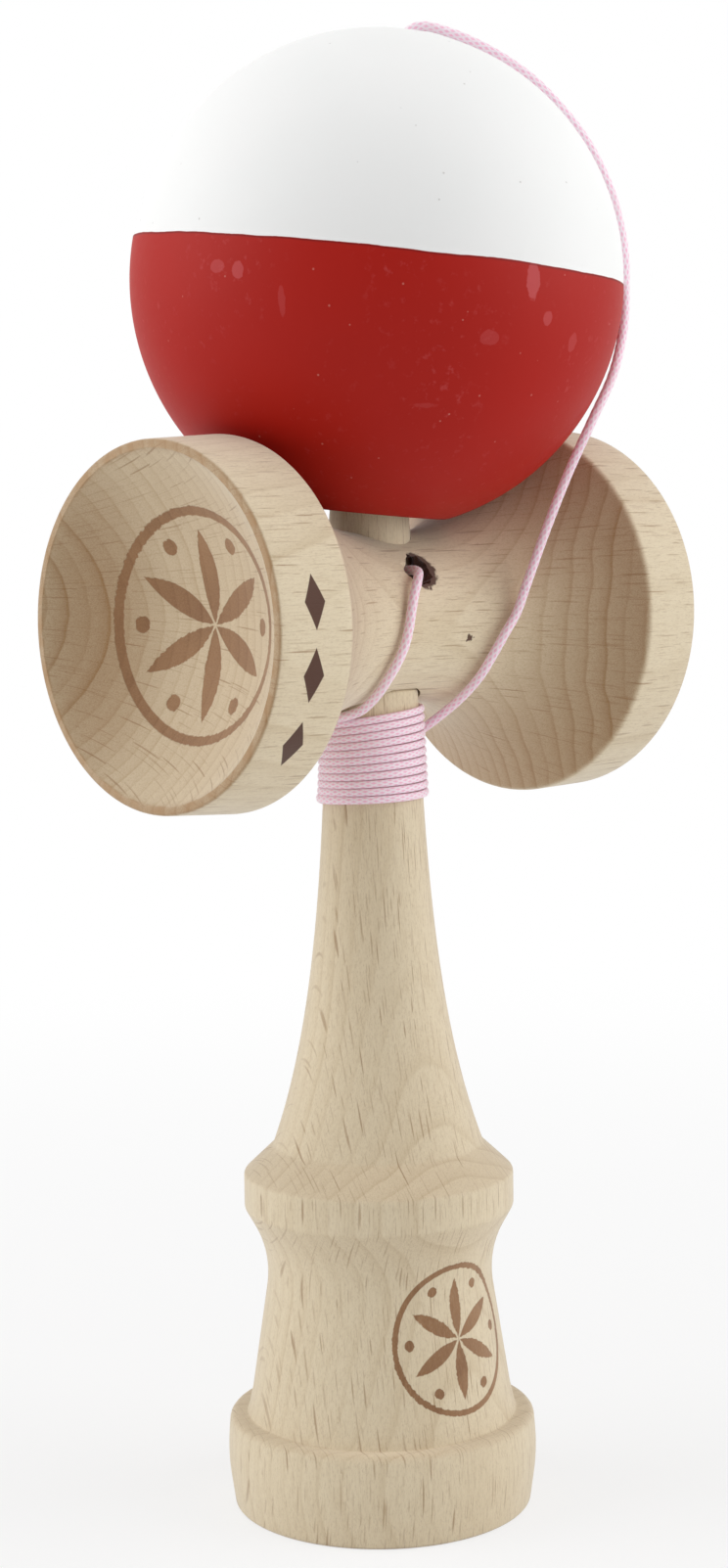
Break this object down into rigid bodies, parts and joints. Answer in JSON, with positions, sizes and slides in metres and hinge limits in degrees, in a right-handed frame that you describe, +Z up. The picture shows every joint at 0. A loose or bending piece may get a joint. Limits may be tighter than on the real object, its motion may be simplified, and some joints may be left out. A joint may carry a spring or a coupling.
{
  "type": "kendama",
  "caption": "Wooden cup-and-ball toy: turned stick with spike and base cup, cross-piece with a small and a big cup, bored ball on a braided cord wound round the neck.",
  "frame": {"origin": "centre of the rim of the base cup, on the surface the kendama stands on", "axes": "+Z up along the ken to the spike, +X along the cross-piece towards the big cup, -X towards the small cup, -Y the side where the cord leaves the cross-piece"},
  "size_m": [0.0691, 0.0594, 0.1816],
  "materials": {
    "beech": "bare sanded beech",
    "tama_paint": "wood with worn matt paint, red below and off-white on top",
    "cord": "pale pink braid",
    "bead_wood": "plain turned wood"
  },
  "bodies": {
    "ken": {"ken": "beech", "string_winding": "cord"},
    "sarado": {"sarado": "beech", "string_anchor_knot": "cord", "string_lead": "cord", "string_run": "cord"},
    "string_end": {"string_over_tama": "cord", "string_bead": "bead_wood", "string_bead_knot": "cord"},
    "tama": {"tama": "tama_paint"}
  },
  "joints": [
    {"name": "sarado_lift", "type": "slide", "parent": "ken", "child": "sarado", "axis": [0, 0, 1], "range_m": [0, 0.062], "deforming": ["string_anchor_knot", "string_lead", "string_run"]},
    {"name": "tama_lift", "type": "slide", "parent": "sarado", "child": "string_end", "axis": [0, 0, 1], "range_m": [0, 0.045], "deforming": ["string_over_tama"]},
    {"name": "tama_spin", "type": "hinge", "parent": "string_end", "child": "tama", "pos_m": [0.001, -0.0009, 0.15091], "axis": [0.0583, -0.101, 0.9932], "continuous": true}
  ]
}
